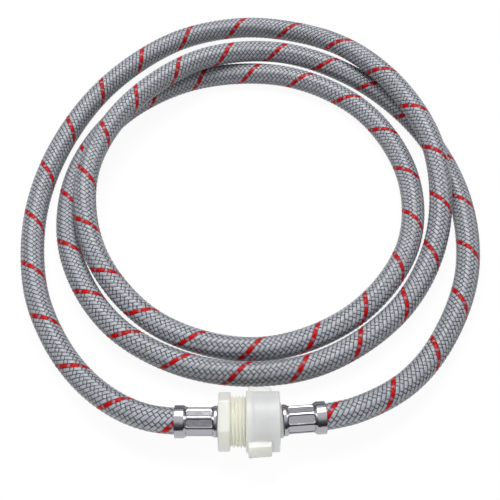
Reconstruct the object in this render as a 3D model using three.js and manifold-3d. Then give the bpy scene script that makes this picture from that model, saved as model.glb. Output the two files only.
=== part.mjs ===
// Extension hose for a dishwasher inlet: a braided rubber hose laid in three
// loose turns, with a threaded plastic connector on one end and a swivel nut
// on the other, the two screwed part of the way together.
// Millimetres, +Z up, standing on Z = 0, with the fittings' axis along X.

import * as THREE from 'three';
import { mergeVertices } from 'three/addons/utils/BufferGeometryUtils.js';
import Module from 'manifold-3d';

const wasm = await Module();
wasm.setup();

// Clearances between pieces
const seatGap = 0.3; // two faces that touch
const threadGap = 0.45; // radial, between the two threads
const runningGap = 0.9; // radial, between the nut and the stem it slides along

// Three-quarter inch pipe thread
const threadMajorRadius = 13.22;
const threadMinorRadius = 12.06;
const threadPitch = 1.814;
const threadSides = 20; // flats in one turn
const threadChamfer = 0.9;
const threadRunOut = 2 * threadPitch; // rods are this much longer than the thread they leave

// Places along the fittings' axis
const hexFace = -10.3; // the hexagon's face on the thread side
const nutFront = -2.2;
const tailPivot = 9; // where the leaning tail piece rocks in the nut
const tailLean = 4.5; // degrees, to the rear of the coil

// Threaded connector
const maleThreadLength = 14.6;
const hexLength = 6.2;
const hexAcrossFlats = 27;
const hexCornerAngle = 49; // degrees up from the front, to the first corner
const hexEdge = 0.5; // bevel round the hexagon's two faces
const turnedSides = 24; // flats round spigots and bores
const sealSides = 32; // flats round the tail piece and its washer

// Barbed spigots, the same on both ends
const spigotBoreRadius = 3.5;
const spigotRadius = 4.1;
const barbHeight = 0.25;
const barbCount = 3;
const barbPitch = 5.2;
const barbRise = 0.1; // of a pitch, from the spigot up to a barb's edge
const barbSlope = 0.6; // of a pitch, from a barb's edge back down
const cutOver = 1; // cutting solids run this far past the faces they open

// Swivel nut
const nutLength = 17.3;
const nutRadius = 15.45;
const nutRimRadius = 15.9;
const nutRimLength = 2.6;
const nutRimFade = 1.8; // from the rim down to the body
const nutShoulder = 2.5; // wall at the rear that pulls on the tail's flange
const nutThreadDepth = 10.4; // from the front to the relief
const nutReliefRadius = 13.5;
const nutLeadIn = 1; // cone that guides the thread in
const nutEdge = 0.6;
const nutSides = 36;
const lugLength = 12;
const lugSetback = 1.2; // behind the nut's front
const lugWidth = 10.6;
const lugFrontRadius = 18.4;
const lugRearRadius = 17.3;
const lugAngle = 8; // degrees up from the front
const lugEdge = 0.6;

// Tail piece and its washer
const flangeRadius = 11.7;
const flangeLength = 2.4;
const stemRadius = 8.9;
const stemStandOut = 1.3; // how far the stem shows behind the nut
const washerLength = 2;
const washerRadius = 11.8;
const washerHoleRadius = 6.6;

// Crimped steel ferrules, measured from the mouth that takes the hose
const ferruleLength = 22.2;
const ferruleMouthRadius = 8.5;
const ferruleMouthLength = 4.6;
const ferruleStep = 1.9; // taper from the mouth down to the crimp
const ferruleCrimpRadius = 7.55;
const ferruleCrimpLength = 12.7;
const ferruleLipRadius = 8.2;
const ferruleLipWall = 0.8;
const ferruleLipFade = 0.6; // rounding before and after the lip
const ferruleWall = 0.5;
const crimpedWall = 1.1; // steel and folded braid at the ribs
const panelCount = 8;
const panelLength = 14;
const panelWidth = 4.4;
const panelDepth = 0.6;
const panelCorner = 1.6;
const panelCornerSteps = 2;
const leftPanelAngle = 60; // degrees up from the front
const rightPanelAngle = 66;
const ferruleSides = 24;

// Hose: rubber tube in a braided sleeve
const hoseRadius = 7;
const sleeveWall = 0.4;
const innerTubeWall = 1.35;
const crimpedTubeWall = 0.6;
const hoseSides = 8;
const hoseStep = 29; // about two diameters
const lie = hoseRadius + seatGap; // height of the middle of a turn on the floor

// The middle line of the free hose, from the connector round to the nut
const hoseRoute = [
  // out of the connector's ferrule and down to the floor
  [-53, 2.5, 15.2], [-72, 12, 11.9], [-92, 29.5, 7.9], [-110, 54, lie],
  // outer turn: up the left, over the top, and over the turn below
  [-124.5, 88, lie], [-130.5, 142, lie], [-120, 197.5, lie], [-94, 249, lie], [-51.5, 289, lie],
  [-8, 302.5, lie], [32, 295, 10.2], [67.2, 268, 19.2], [97.2, 227.5, 22.4], [114.5, 178, 20],
  [111.5, 122, 10],
  // middle turn: down the right, along the front, up the left, and under
  [84.2, 71, lie], [33.8, 36.5, lie], [-24, 33.8, lie], [-75.2, 59.8, lie], [-106, 110, lie],
  [-109, 168, lie], [-85, 219.5, lie], [-37, 252, lie],
  // inner turn: over the top, down the right, along the front, and up over it
  [23.5, 255, lie], [72, 226, lie], [98, 172, lie], [93.5, 115, lie], [57.2, 66.8, lie], [4, 46.4, lie],
  [-52.3, 62, 8.2], [-89.8, 104.7, 14], [-99.5, 160, 20], [-79.5, 213, 22.2], [-33.5, 256, 21.8],
  // last stretch: down from the crossing, round the outside, and up to the nut
  [20, 269.5, 15.3], [70.5, 253.5, 7.9], [109, 210, lie], [128.3, 155, lie], [127, 100, lie],
  [109.2, 56, lie], [84.8, 25, 10.8], [55.5, 7, 15],
];

// Sizes that follow from those above
const radians = THREE.MathUtils.degToRad;
const axisHeight = nutRimRadius;
const hexRear = hexFace - hexLength;
const maleEnd = hexFace + maleThreadLength;
const washerFront = maleEnd + seatGap;
const flangeLift = flangeRadius * Math.sin(radians(tailLean));
const flangeFront = washerFront + washerLength + seatGap + flangeLift;
const nutRear = nutFront + nutLength;
const stemEnd = nutRear + stemStandOut;
const spigotLength = ferruleLength - ferruleMouthLength;
const crimpInnerRadius = ferruleCrimpRadius - crimpedWall;
const crimpedSleeveRadius = crimpInnerRadius - seatGap;
const crimpedTubeRadius = crimpedSleeveRadius - sleeveWall - seatGap;
const innerTubeRadius = hoseRadius - sleeveWall - seatGap;
const crimpStart = ferruleMouthLength + ferruleStep;
const crimpEnd = crimpStart + ferruleCrimpLength;
const hoseEnd = ferruleLength - ferruleLipWall - seatGap;

// A solid turned about the X axis, from [x, radius] pairs along its section
function turned(section, sides) {
  const profile = section.map(([x, radius]) => new THREE.Vector2(radius, x));
  const geometry = new THREE.LatheGeometry(profile, sides);
  geometry.rotateZ(-Math.PI / 2);
  return geometry;
}

function toSolid(geometry) {
  const bare = geometry.index ? geometry.clone() : mergeVertices(geometry.clone());
  bare.deleteAttribute('normal');
  bare.deleteAttribute('uv');
  const merged = mergeVertices(bare, 1e-4);
  const mesh = new wasm.Mesh({
    numProp: 3,
    vertProperties: new Float32Array(merged.attributes.position.array),
    triVerts: new Uint32Array(merged.index.array),
  });
  mesh.merge();
  return new wasm.Manifold(mesh);
}

function toGeometry(solid) {
  const mesh = solid.getMesh();
  const geometry = new THREE.BufferGeometry();
  geometry.setAttribute('position', new THREE.BufferAttribute(mesh.vertProperties, 3));
  geometry.setIndex(new THREE.BufferAttribute(mesh.triVerts, 1));
  return geometry;
}

// A long rod with a right-hand V thread about the X axis, to cut or be cut.
// It starts a whole number of turns from the hexagon, so every rod is in mesh.
function threadedRod(crestRadius, rootRadius, from, to) {
  const start = hexFace + Math.floor((from - hexFace) / threadPitch) * threadPitch;
  const steps = Math.ceil((to - start) / threadPitch) * threadSides;
  const positions = [];
  const faces = [];
  const place = (step, radius, shift) => {
    const angle = (2 * Math.PI * step) / threadSides;
    const x = start + (step / threadSides + shift) * threadPitch;
    positions.push(x, radius * Math.cos(angle), radius * Math.sin(angle));
  };
  for (let step = 0; step <= steps; step++) {
    place(step, rootRadius, 0);
    place(step, crestRadius, 0.5);
  }
  const root = (step) => 2 * step;
  const crest = (step) => 2 * step + 1;
  const firstMiddle = positions.length / 3;
  positions.push(start + threadPitch / 2, 0, 0);
  const lastMiddle = firstMiddle + 1;
  positions.push(start + (steps / threadSides) * threadPitch, 0, 0);
  for (let step = 0; step < steps; step++) {
    faces.push(root(step), root(step + 1), crest(step + 1));
    faces.push(root(step), crest(step + 1), crest(step));
  }
  for (let step = 0; step < steps - threadSides; step++) {
    const next = step + threadSides;
    faces.push(crest(step), crest(step + 1), root(next + 1));
    faces.push(crest(step), root(next + 1), root(next));
  }
  for (let step = 0; step < threadSides; step++) {
    faces.push(firstMiddle, root(step + 1), root(step));
    const late = steps - threadSides + step;
    faces.push(lastMiddle, crest(late), crest(late + 1));
  }
  faces.push(firstMiddle, crest(0), root(threadSides));
  faces.push(firstMiddle, root(0), crest(0));
  faces.push(lastMiddle, crest(steps), root(steps));
  faces.push(lastMiddle, root(steps), crest(steps - threadSides));
  const geometry = new THREE.BufferGeometry();
  geometry.setAttribute('position', new THREE.BufferAttribute(new Float32Array(positions), 3));
  geometry.setIndex(faces);
  return geometry;
}

// Outline of a barbed spigot from its root to its tip, towards -X or +X
function spigotOutline(root, direction) {
  const outline = [[root, spigotRadius]];
  for (let barb = 1; barb <= barbCount; barb++) {
    const back = barb * barbPitch;
    outline.push([root + direction * (back - (barbSlope + barbRise) * barbPitch), spigotRadius]);
    outline.push([root + direction * (back - barbSlope * barbPitch), spigotRadius + barbHeight]);
    outline.push([root + direction * back, spigotRadius]);
  }
  outline.push([root + direction * spigotLength, spigotRadius - barbHeight]);
  return outline;
}

function maleConnector() {
  const end = maleEnd;
  const rod = toSolid(threadedRod(
    threadMajorRadius, threadMinorRadius, hexFace - threadRunOut, end + threadRunOut));
  const threadEnvelope = toSolid(turned([
    [hexFace - hexEdge, 0], [hexFace - hexEdge, threadMinorRadius], [hexFace, threadMinorRadius],
    [hexFace + threadChamfer, threadMajorRadius], [end - threadChamfer, threadMajorRadius],
    [end, threadMajorRadius - 1.5 * threadChamfer], [end, 0],
  ], threadSides));
  const cornerRadius = (hexAcrossFlats - 2 * hexEdge) / Math.sqrt(3);
  const corners = [];
  for (let corner = 0; corner < 6; corner++) {
    const angle = radians(hexCornerAngle + 60 * corner);
    corners.push(new THREE.Vector2(cornerRadius * Math.sin(angle), cornerRadius * Math.cos(angle)));
  }
  const hexSettings = {
    depth: hexLength - 2 * hexEdge, bevelEnabled: true, bevelSegments: 1,
    bevelThickness: hexEdge, bevelSize: hexEdge,
  };
  const hex = new THREE.ExtrudeGeometry(new THREE.Shape(corners), hexSettings);
  hex.rotateZ(Math.PI / 2);
  hex.rotateY(Math.PI / 2);
  hex.rotateX(Math.PI / 2);
  hex.translate(hexRear + hexEdge, 0, 0);
  const spigotEnd = hexRear - spigotLength;
  const spigot = toSolid(turned([
    [hexFace - hexEdge, 0], [hexFace - hexEdge, spigotRadius], ...spigotOutline(hexRear, -1),
    [spigotEnd, 0],
  ].reverse(), turnedSides));
  const bore = toSolid(turned([
    [spigotEnd - cutOver, 0], [spigotEnd - cutOver, spigotBoreRadius],
    [end + cutOver, spigotBoreRadius], [end + cutOver, 0],
  ], turnedSides));
  const body = rod.intersect(threadEnvelope).add(toSolid(hex)).add(spigot).subtract(bore);
  return toGeometry(body);
}

function tailPiece() {
  const section = [
    [flangeFront, spigotBoreRadius], [flangeFront, flangeRadius],
    [flangeFront + flangeLength, flangeRadius], [flangeFront + flangeLength, stemRadius],
    [stemEnd, stemRadius], ...spigotOutline(stemEnd, 1),
    [stemEnd + spigotLength, spigotBoreRadius], [flangeFront, spigotBoreRadius],
  ];
  return turned(section.map(([x, radius]) => [x - tailPivot, radius]), sealSides);
}

function sealingWasher() {
  const rear = washerFront + washerLength;
  return turned([
    [washerFront, washerHoleRadius], [washerFront, washerRadius], [rear, washerRadius],
    [rear, washerHoleRadius], [washerFront, washerHoleRadius],
  ], sealSides);
}

function swivelNut() {
  const shell = toSolid(turned([
    [nutFront, 0], [nutFront, nutRimRadius - nutEdge], [nutFront + nutEdge, nutRimRadius],
    [nutFront + nutRimLength, nutRimRadius], [nutFront + nutRimLength + nutRimFade, nutRadius],
    [nutRear - nutEdge, nutRadius], [nutRear, nutRadius - nutEdge], [nutRear, 0],
  ], nutSides));
  const lugShape = new THREE.Shape();
  const crest = threadMajorRadius + threadGap;
  const root = threadMinorRadius + threadGap;
  const lugFoot = (crest + nutRadius) / 2;
  lugShape.moveTo(lugEdge, lugFoot);
  lugShape.lineTo(lugEdge, lugFrontRadius - lugEdge);
  lugShape.lineTo(lugLength - lugEdge, lugRearRadius - lugEdge);
  lugShape.lineTo(lugLength - lugEdge, lugFoot);
  lugShape.closePath();
  const lugSettings = {
    depth: lugWidth - 2 * lugEdge, bevelEnabled: true, bevelSegments: 1,
    bevelThickness: lugEdge, bevelSize: lugEdge,
  };
  let body = shell;
  for (const side of [0, 180]) {
    const lug = new THREE.ExtrudeGeometry(lugShape, lugSettings);
    lug.translate(nutFront + lugSetback, 0, -lugWidth / 2 + lugEdge);
    lug.rotateX(radians(180 - lugAngle + side));
    body = body.add(toSolid(lug));
  }
  const before = nutFront - cutOver;
  const reliefStart = nutFront + nutThreadDepth;
  const shoulderFace = nutRear - nutShoulder;
  const throat = stemRadius + runningGap;
  const rod = toSolid(threadedRod(crest, root, before - threadRunOut, reliefStart + threadRunOut));
  const threadEnvelope = toSolid(turned([
    [before, 0], [before, nutReliefRadius + cutOver], [reliefStart + seatGap, nutReliefRadius + cutOver],
    [reliefStart + seatGap, 0],
  ], nutSides));
  const hollow = toSolid(turned([
    [reliefStart, 0], [reliefStart, nutReliefRadius], [shoulderFace, nutReliefRadius],
    [shoulderFace, throat], [nutRear + cutOver, throat], [nutRear + cutOver, 0],
  ], nutSides));
  const leadIn = toSolid(turned([
    [before, 0], [before, crest + cutOver], [nutFront + nutLeadIn, crest - nutLeadIn],
    [nutFront + nutLeadIn, 0],
  ], nutSides));
  body = body.subtract(rod.intersect(threadEnvelope)).subtract(hollow).subtract(leadIn);
  return toGeometry(body);
}

// A ferrule with its mouth at X = 0 and its front end towards +X
function ferrule(panelAngle) {
  const lipStart = ferruleLength - ferruleLipWall;
  const lipRoom = spigotRadius + barbHeight + seatGap;
  const shell = toSolid(turned([
    [0, ferruleMouthRadius], [ferruleMouthLength, ferruleMouthRadius],
    [crimpStart, ferruleCrimpRadius], [crimpEnd, ferruleCrimpRadius],
    [lipStart - ferruleLipFade, ferruleLipRadius], [lipStart, ferruleLipRadius],
    [ferruleLength, ferruleLipRadius - ferruleLipFade], [ferruleLength, lipRoom], [lipStart, lipRoom],
    [lipStart, crimpInnerRadius], [crimpStart, crimpInnerRadius],
    [ferruleMouthLength, ferruleMouthRadius - ferruleWall], [0, ferruleMouthRadius - ferruleWall],
    [0, ferruleMouthRadius],
  ], ferruleSides));
  const halfLength = panelLength / 2 - panelCorner;
  const halfWidth = panelWidth / 2 - panelCorner;
  const outline = new THREE.Shape();
  outline.absarc(halfLength, halfWidth, panelCorner, 0, Math.PI / 2);
  outline.absarc(-halfLength, halfWidth, panelCorner, Math.PI / 2, Math.PI);
  outline.absarc(-halfLength, -halfWidth, panelCorner, Math.PI, 1.5 * Math.PI);
  outline.absarc(halfLength, -halfWidth, panelCorner, 1.5 * Math.PI, 2 * Math.PI);
  const stampSettings = {
    depth: panelDepth + cutOver, bevelEnabled: false, curveSegments: panelCornerSteps,
  };
  let body = shell;
  for (let panel = 0; panel < panelCount; panel++) {
    const stamp = new THREE.ExtrudeGeometry(outline, stampSettings);
    stamp.translate((crimpStart + crimpEnd) / 2, 0, ferruleCrimpRadius - panelDepth);
    stamp.rotateX(radians(90 - panelAngle + (360 / panelCount) * panel));
    body = body.subtract(toSolid(stamp));
  }
  return toGeometry(body);
}

// Points along the two straight crimped ends and the free hose between them
const leftMouth = hexRear - seatGap - ferruleLength;
const rightMouth = stemEnd + seatGap + ferruleLength;
const tailDirection = new THREE.Vector3(Math.cos(radians(tailLean)), Math.sin(radians(tailLean)), 0);
const onTail = (x) => (
  new THREE.Vector3(tailPivot, 0, axisHeight).addScaledVector(tailDirection, x - tailPivot)
);
const onConnector = (x) => new THREE.Vector3(x, 0, axisHeight);
const hoseCurve = new THREE.CatmullRomCurve3([
  onConnector(leftMouth + hoseEnd),
  onConnector(leftMouth + crimpStart),
  onConnector(leftMouth + ferruleMouthLength),
  ...hoseRoute.map((point) => new THREE.Vector3(...point)),
  onTail(rightMouth - ferruleMouthLength),
  onTail(rightMouth - crimpStart),
  onTail(rightMouth - hoseEnd),
], false, 'centripetal');
hoseCurve.arcLengthDivisions = 4000; // about two to a millimetre, so that rings stand evenly
const hoseLength = hoseCurve.getLength();

// How far along the hose each ring of the tube stands, and how wide it is there
function hoseRings(freeOuter, freeInner, crimpedOuter, crimpedInner) {
  const endRings = [
    { along: 0, outer: crimpedOuter, inner: crimpedInner },
    { along: hoseEnd - crimpStart, outer: crimpedOuter, inner: crimpedInner },
    { along: hoseEnd - ferruleMouthLength, outer: freeOuter, inner: freeInner },
  ];
  const freeLength = hoseLength - 2 * hoseEnd;
  const spans = Math.round(freeLength / hoseStep);
  const rings = [...endRings];
  for (let span = 0; span <= spans; span++) {
    rings.push({ along: hoseEnd + (freeLength * span) / spans, outer: freeOuter, inner: freeInner });
  }
  const farEnd = endRings.map((ring) => ({ ...ring, along: hoseLength - ring.along }));
  return [...rings, ...farEnd.reverse()];
}

// A tube along the hose's middle line through those rings, open at both ends
function hoseTube(rings) {
  const positions = [];
  const faces = [];
  const normal = new THREE.Vector3(0, 0, 1);
  rings.forEach(({ along, outer, inner }) => {
    const middle = hoseCurve.getPointAt(along / hoseLength);
    const tangent = hoseCurve.getTangentAt(along / hoseLength);
    normal.addScaledVector(tangent, -normal.dot(tangent)).normalize();
    const side = new THREE.Vector3().crossVectors(tangent, normal);
    for (const radius of [outer, inner]) {
      for (let corner = 0; corner < hoseSides; corner++) {
        const angle = (2 * Math.PI * corner) / hoseSides;
        const point = middle.clone();
        point.addScaledVector(normal, radius * Math.cos(angle));
        point.addScaledVector(side, radius * Math.sin(angle));
        positions.push(point.x, point.y, point.z);
      }
    }
  });
  const perRing = 2 * hoseSides;
  const quad = (a, b, c, d) => faces.push(a, b, c, a, c, d);
  for (let corner = 0; corner < hoseSides; corner++) {
    const next = (corner + 1) % hoseSides;
    for (let ring = 0; ring < rings.length - 1; ring++) {
      const here = ring * perRing;
      const there = here + perRing;
      quad(here + corner, here + next, there + next, there + corner);
      quad(here + hoseSides + next, here + hoseSides + corner, there + hoseSides + corner,
        there + hoseSides + next);
    }
    const last = (rings.length - 1) * perRing;
    quad(next, corner, hoseSides + corner, hoseSides + next);
    quad(last + corner, last + next, last + hoseSides + next, last + hoseSides + corner);
  }
  const geometry = new THREE.BufferGeometry();
  geometry.setAttribute('position', new THREE.BufferAttribute(new Float32Array(positions), 3));
  geometry.setIndex(faces);
  return geometry;
}

function braidedSleeve() {
  return hoseTube(hoseRings(
    hoseRadius, hoseRadius - sleeveWall, crimpedSleeveRadius, crimpedSleeveRadius - sleeveWall));
}

function innerTube() {
  return hoseTube(hoseRings(
    innerTubeRadius, innerTubeRadius - innerTubeWall,
    crimpedTubeRadius, crimpedTubeRadius - crimpedTubeWall));
}

const naturalPlastic = { color: 0xe6e8e2, roughness: 0.45, metalness: 0 };
const polishedSteel = { color: 0xc9c8cc, roughness: 0.18, metalness: 1 };
const greyBraid = { color: 0x8f949e, roughness: 0.5, metalness: 0 };
const blackRubber = { color: 0x2a2a2c, roughness: 0.7, metalness: 0 };

function piece(name, geometry, finish) {
  const shaded = geometry.index ? geometry.toNonIndexed() : geometry;
  shaded.computeVertexNormals();
  const mesh = new THREE.Mesh(shaded, new THREE.MeshStandardMaterial(finish));
  mesh.name = name;
  return mesh;
}

const part = new THREE.Group();

// Fittings, built about their own axis and lifted so that the nut's rim touches the floor
const fittings = new THREE.Group();
fittings.position.z = axisHeight;
fittings.add(piece('male_connector', maleConnector(), naturalPlastic));
fittings.add(piece('swivel_nut', swivelNut(), naturalPlastic));
fittings.add(piece('sealing_washer', sealingWasher(), blackRubber));

const leftFerrule = piece('left_ferrule', ferrule(leftPanelAngle), polishedSteel);
leftFerrule.position.x = leftMouth;
fittings.add(leftFerrule);

const tail = new THREE.Group();
tail.position.x = tailPivot;
tail.rotation.z = radians(tailLean);
tail.add(piece('tail_piece', tailPiece(), naturalPlastic));
const rightFerrule = piece('right_ferrule', ferrule(180 - rightPanelAngle), polishedSteel);
rightFerrule.position.x = rightMouth - tailPivot;
rightFerrule.rotation.z = Math.PI;
tail.add(rightFerrule);
fittings.add(tail);
part.add(fittings);

part.add(piece('inner_tube', innerTube(), blackRubber));
part.add(piece('braided_sleeve', braidedSleeve(), greyBraid));

export default part;
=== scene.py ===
import math

import bmesh
import bpy
import numpy as np
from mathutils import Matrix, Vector


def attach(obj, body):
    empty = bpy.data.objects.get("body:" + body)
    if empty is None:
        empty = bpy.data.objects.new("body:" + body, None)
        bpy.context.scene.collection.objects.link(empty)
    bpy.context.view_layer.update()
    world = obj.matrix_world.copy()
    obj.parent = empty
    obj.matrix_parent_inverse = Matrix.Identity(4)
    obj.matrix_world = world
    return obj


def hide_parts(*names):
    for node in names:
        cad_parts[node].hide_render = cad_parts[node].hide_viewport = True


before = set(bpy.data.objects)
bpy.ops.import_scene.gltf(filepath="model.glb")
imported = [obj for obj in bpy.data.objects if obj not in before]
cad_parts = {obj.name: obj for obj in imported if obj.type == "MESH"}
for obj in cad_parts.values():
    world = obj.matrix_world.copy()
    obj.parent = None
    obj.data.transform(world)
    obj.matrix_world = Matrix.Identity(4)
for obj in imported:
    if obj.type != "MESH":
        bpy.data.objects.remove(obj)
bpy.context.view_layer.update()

# Looks for the braided extension hose: camera and hose first, then the fittings, then the light.
# Sizes are millimetres until makePiece turns them into metres.

metre = 0.001

# places that several pieces share
axisHeight = 15.9  # the fittings' axis above the floor
tailPivot = 9.0  # the tail piece leans about this point of the axis
tailLean = math.radians(4.5)
leftMouth = -39.0  # where the hose goes into the two ferrules
rightMouth = 38.9
hexFace = -10.3
maleEnd = 4.3
mouldedSharp = 35  # degrees; a moulded edge that turns by more than this is drawn sharp

camera = {
    "place": (-0.0002, -0.1894, 0.4550),
    "aim": (-0.0002, 0.1175, 0.0),
    "lens": 65.6,
    "sensor": 36.0,
    "nearest": 0.01,
}


def setCamera():
    data = bpy.data.cameras.new("camera")
    data.lens = camera["lens"]
    data.sensor_width = camera["sensor"]
    data.clip_start = camera["nearest"]
    eye = bpy.data.objects.new("camera", data)
    eye.location = camera["place"]
    look = Vector(camera["aim"]) - Vector(camera["place"])
    eye.rotation_euler = look.to_track_quat("-Z", "Y").to_euler()
    bpy.context.scene.collection.objects.link(eye)
    bpy.context.scene.camera = eye


# sRGB hex to the linear colour that a shader socket takes
def linear(colour):
    parts = [int(colour[i:i + 2], 16) / 255 for i in (1, 3, 5)]
    return [p / 12.92 if p <= 0.04045 else ((p + 0.055) / 1.055) ** 2.4 for p in parts] + [1.0]


# adds a node with its settings, its sockets' values and the sockets that feed it
def addNode(tree, kind, values=None, links=None, **settings):
    node = tree.nodes.new(kind)
    for key, value in settings.items():
        setattr(node, key, value)
    for key, value in (values or {}).items():
        node.inputs[key].default_value = value
    for key, source in (links or {}).items():
        tree.links.new(source, node.inputs[key])
    return node


# scale of a noise whose grains are this many millimetres across
def grains(size):
    return 1 / (size * metre)


def newMaterial(name):
    material = bpy.data.materials.new(name)
    material.use_nodes = True
    material.node_tree.nodes.clear()
    return material, material.node_tree


# quads between neighbouring rings of a loft, given as indices into its points
def loftFaces(rings, around, ringsMeet, aroundMeets=True):
    index = np.arange(rings * around).reshape(rings, around)
    ahead = np.roll(index, -1, axis=0)
    if not ringsMeet:
        index, ahead = index[:-1], ahead[:-1]
    if aroundMeets:
        beside, aheadBeside = np.roll(index, -1, axis=1), np.roll(ahead, -1, axis=1)
    else:
        beside, aheadBeside = index[:, 1:], ahead[:, 1:]
        index, ahead = index[:, :-1], ahead[:, :-1]
    return np.stack([index, beside, aheadBeside, ahead], axis=-1).reshape(-1, 4)


# a piece from points in millimetres and quads; with no sharp angle it is smooth all over
def makePiece(name, points, faces, material, body, sharpAngle):
    mesh = bpy.data.meshes.new(name)
    mesh.vertices.add(len(points))
    mesh.vertices.foreach_set("co", (np.asarray(points) * metre).astype(np.float32).ravel())
    mesh.loops.add(faces.size)
    mesh.loops.foreach_set("vertex_index", faces.astype(np.int32).ravel())
    mesh.polygons.add(len(faces))
    starts = np.arange(len(faces), dtype=np.int32) * faces.shape[1]
    mesh.polygons.foreach_set("loop_start", starts)
    mesh.update(calc_edges=True)
    mesh.validate()
    mesh.shade_smooth()
    if sharpAngle:
        mesh.set_sharp_from_angle(angle=math.radians(sharpAngle))
    mesh.materials.append(material)
    piece = bpy.data.objects.new(name, mesh)
    bpy.context.scene.collection.objects.link(piece)
    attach(piece, body)
    return piece


# a closed form's faces all turned outwards
def faceOut(piece):
    form = bmesh.new()
    form.from_mesh(piece.data)
    bmesh.ops.recalc_face_normals(form, faces=form.faces)
    form.to_mesh(piece.data)
    form.free()


# a number at each point of a mesh, for its material to read
def addShade(piece, name, values):
    shade = piece.data.attributes.new(name, "FLOAT", "POINT")
    shade.data.foreach_set("value", np.asarray(values, np.float32).ravel())


setCamera()
print("camera set")

# The hose: where it lies, how it is wound, and its layers.
hose = {
    "outside": 7.0,
    "liner": 6.3,
    "linerWall": 1.35,
    "crimpedLiner": 5.45,
    "crimpedLinerWall": 0.6,
    "crimpedBraid": 5.85,
    "lie": 7.3,
    "end": 21.1,  # depth of its ends in the ferrules
    "crimpStart": 6.5,
    "mouthLength": 4.6,
    "length": 2.24,  # metres, from ferrule to ferrule
    "linerStep": 4.0,
    "linerSides": 28,
    "pathStep": 5.0,
}
lie = hose["lie"]
hoseRoute = [
    # out of the connector's ferrule and down to the floor
    (-53, 2.5, 15.2), (-72, 12, 11.9), (-92, 29.5, 7.9), (-110, 54, lie),
    # outer turn, over the turn below
    (-124.5, 88, lie), (-130.5, 142, lie), (-120, 197.5, lie), (-94, 249, lie), (-51.5, 289, lie),
    (-8, 302.5, lie), (32, 295, 10.2), (67.2, 268, 19.2), (97.2, 227.5, 22.4), (114.5, 178, 20),
    (111.5, 122, 10),
    # middle turn
    (84.2, 71, lie), (33.8, 36.5, lie), (-24, 33.8, lie), (-75.2, 59.8, lie), (-106, 110, lie),
    (-109, 168, lie), (-85, 219.5, lie), (-37, 252, lie),
    # inner turn, up and over the middle one
    (23.5, 255, lie), (72, 226, lie), (98, 172, lie), (93.5, 115, lie), (57.2, 66.8, lie),
    (4, 46.4, lie), (-52.3, 62, 8.2), (-89.8, 104.7, 14), (-99.5, 160, 20), (-79.5, 213, 22.2),
    (-33.5, 256, 21.8),
    # down from the crossing, round the outside and up to the nut
    (20, 269.5, 15.3), (70.5, 253.5, 7.9), (109, 210, lie), (128.3, 155, lie), (127, 100, lie),
    (109.2, 56, lie), (84.8, 25, 10.8), (55.5, 7, 15),
]


def onConnector(x):
    return (x, 0, axisHeight)


def onTail(x):
    reach = x - tailPivot
    return (tailPivot + reach * math.cos(tailLean), reach * math.sin(tailLean), axisHeight)


# a centripetal Catmull-Rom curve through the points, as dense points
def smoothCurve(points, steps=120):
    points = np.array(points, float)
    points = np.vstack([2 * points[0] - points[1], points, 2 * points[-1] - points[-2]])
    t = np.linspace(0, 1, steps, endpoint=False)[:, None]
    curve = []
    for before, start, end, after in zip(points, points[1:], points[2:], points[3:]):
        d0 = math.sqrt(np.linalg.norm(start - before))
        d1 = math.sqrt(np.linalg.norm(end - start))
        d2 = math.sqrt(np.linalg.norm(after - end))
        leaving = d1 * ((start - before) / d0 - (end - before) / (d0 + d1) + (end - start) / d1)
        arriving = d1 * ((end - start) / d1 - (after - start) / (d1 + d2) + (after - end) / d2)
        curve.append(start + leaving * t + (3 * (end - start) - 2 * leaving - arriving) * t ** 2
                     + (2 * (start - end) + leaving + arriving) * t ** 3)
    return np.vstack(curve + [points[-2:-1]])


# the hose's middle line every half millimetre, with a frame that never twists
class MiddleLine:
    step = 0.5

    def __init__(self, points):
        curve = smoothCurve(points)
        travelled = np.r_[0, np.cumsum(np.linalg.norm(np.diff(curve, axis=0), axis=1))]
        self.length = travelled[-1]
        self.at = np.linspace(0, self.length, round(self.length / self.step) + 1)
        self.place = np.stack([np.interp(self.at, travelled, axis) for axis in curve.T], axis=1)
        self.along = np.gradient(self.place, axis=0)
        self.along /= np.linalg.norm(self.along, axis=1)[:, None]
        up = np.array([0.0, 0.0, 1.0])
        ups = []
        for along in self.along:
            up = up - along * up.dot(along)
            up /= np.linalg.norm(up)
            ups.append(up)
        self.up = np.array(ups)
        self.side = np.cross(self.along, self.up)

    # points at a distance along the line, an angle round it and a radius from it
    def around(self, s, angle, radius):
        s, angle, radius = np.broadcast_arrays(s, angle, radius)
        where = [np.stack([np.interp(s, self.at, column) for column in table.T], axis=-1)
                 for table in (self.place, self.up, self.side)]
        return (where[0] + (radius * np.cos(angle))[..., None] * where[1]
                + (radius * np.sin(angle))[..., None] * where[2])


middle = MiddleLine([
    onConnector(leftMouth + hose["end"]),
    onConnector(leftMouth + hose["crimpStart"]),
    onConnector(leftMouth + hose["mouthLength"]),
    *hoseRoute,
    onTail(rightMouth - hose["mouthLength"]),
    onTail(rightMouth - hose["crimpStart"]),
    onTail(rightMouth - hose["end"]),
])
print(f"hose middle line, {middle.length:.0f} mm")


# a layer's radius along the hose: free, and smaller in the two crimps
def layerRadius(s, free, crimped):
    fromEnd = np.minimum(s, middle.length - s)
    opening = [hose["end"] - hose["crimpStart"], hose["end"] - hose["mouthLength"]]
    return np.interp(fromEnd, opening, [crimped, free])


# EPDM rubber, extruded: black and dull, with a faint grey bloom. Sizes and depths here and in the
# other materials are millimetres.
epdm = {
    "tone": "#121316",
    "bloomTone": "#24262a",
    "bloomSize": 3.85,
    "grainSize": 0.417,
    "grainDepth": 0.1,
    "roughness": 0.62,
}


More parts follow.
